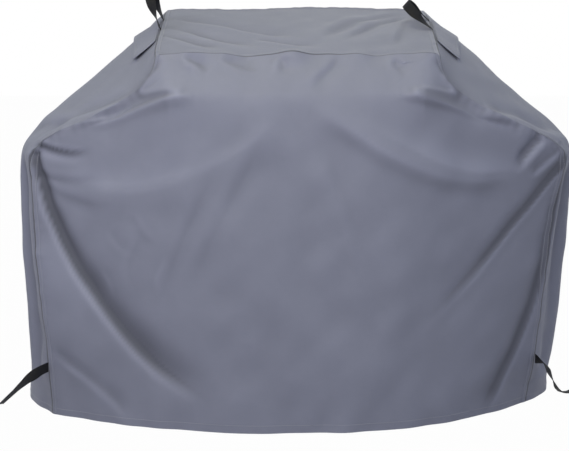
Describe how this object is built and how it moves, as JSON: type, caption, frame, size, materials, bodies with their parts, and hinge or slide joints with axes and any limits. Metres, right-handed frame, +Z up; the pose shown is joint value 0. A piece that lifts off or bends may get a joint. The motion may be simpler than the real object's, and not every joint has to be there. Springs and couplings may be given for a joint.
{
  "type": "grill cover",
  "caption": "Fitted fabric cover for a free-standing gas grill with side shelves, sewn from panels, with webbing handles, flapped vents and corner straps.",
  "frame": {"origin": "on the surface the cover stands on, below the middle of its width and depth", "axes": "+X to the right seen from the front, +Y from the front to the back, +Z up from the hem"},
  "size_m": [1.4642, 0.576, 1.0575],
  "materials": {
    "cover_fabric": "grey coated polyester with a fine oxford weave, slight sheen",
    "hem_lining": "coated back of the same polyester",
    "seam_tape": "smooth heat-bonded tape, semi-matt",
    "vent_mesh": "black polyester mesh",
    "stiffener": "plain strip under the flap's edge",
    "webbing": "black woven polypropylene webbing",
    "hook_tape": "black hook tape",
    "loop_tape": "black loop tape"
  },
  "bodies": {
    "cover": {"front_panel": "cover_fabric", "back_panel": "cover_fabric", "roof_panel": "cover_fabric", "left_side_panel": "cover_fabric", "right_side_panel": "cover_fabric", "front_hem": "hem_lining", "back_hem": "hem_lining", "left_hem": "hem_lining", "right_hem": "hem_lining", "front_left_seam_tape": "seam_tape", "front_right_seam_tape": "seam_tape", "back_left_seam_tape": "seam_tape", "back_right_seam_tape": "seam_tape", "roof_front_seam_tape": "seam_tape", "roof_back_seam_tape": "seam_tape", "roof_left_seam_tape": "seam_tape", "roof_right_seam_tape": "seam_tape", "left_vent_mesh": "vent_mesh", "right_vent_mesh": "vent_mesh"},
    "left_handle": {"left_handle": "webbing"},
    "right_handle": {"right_handle": "webbing"},
    "left_flap": {"left_vent_flap": "cover_fabric", "left_vent_stiffener": "stiffener"},
    "right_flap": {"right_vent_flap": "cover_fabric", "right_vent_stiffener": "stiffener"},
    "front_left_strap": {"front_left_strap": "webbing", "front_left_hook_tape": "hook_tape"},
    "front_right_strap": {"front_right_strap": "webbing", "front_right_hook_tape": "hook_tape"},
    "back_left_strap": {"back_left_strap": "webbing", "back_left_loop_tape": "loop_tape"},
    "back_right_strap": {"back_right_strap": "webbing", "back_right_loop_tape": "loop_tape"}
  },
  "joints": [
    {"name": "left_handle_swing", "type": "hinge", "parent": "cover", "child": "left_handle", "pos_m": [-0.34478, 0.08161, 0.97523], "axis": [-0.0045, -0.9793, -0.2026], "range_deg": [-95, 40], "stiffness_Nm_per_rad": 0.05},
    {"name": "right_handle_swing", "type": "hinge", "parent": "cover", "child": "right_handle", "pos_m": [0.34478, 0.08154, 0.9756], "axis": [-0.0045, 0.9793, 0.2026], "range_deg": [-25, 110], "stiffness_Nm_per_rad": 0.05},
    {"name": "left_flap_lift", "type": "hinge", "parent": "cover", "child": "left_flap", "pos_m": [-0.35108, 0.04061, 0.96098], "axis": [-0.0065, 0.9769, 0.2136], "range_deg": [0, 40]},
    {"name": "right_flap_lift", "type": "hinge", "parent": "cover", "child": "right_flap", "pos_m": [0.35108, 0.04061, 0.96098], "axis": [-0.0065, -0.9769, -0.2136], "range_deg": [0, 40]},
    {"name": "front_left_strap_swing", "type": "hinge", "parent": "cover", "child": "front_left_strap", "pos_m": [-0.62937, -0.12647, 0.122], "axis": [0, 0, 1], "range_deg": [-75, 75]},
    {"name": "front_right_strap_swing", "type": "hinge", "parent": "cover", "child": "front_right_strap", "pos_m": [0.61956, -0.04458, 0.122], "axis": [0, 0, 1], "range_deg": [-60, 40]},
    {"name": "back_left_strap_swing", "type": "hinge", "parent": "cover", "child": "back_left_strap", "pos_m": [-0.6598, 0.2431, 0.12436], "axis": [0, 0, 1], "range_deg": [0, 140]},
    {"name": "back_right_strap_swing", "type": "hinge", "parent": "cover", "child": "back_right_strap", "pos_m": [0.6598, 0.2431, 0.12436], "axis": [0, 0, 1], "range_deg": [-140, 0]}
  ]
}
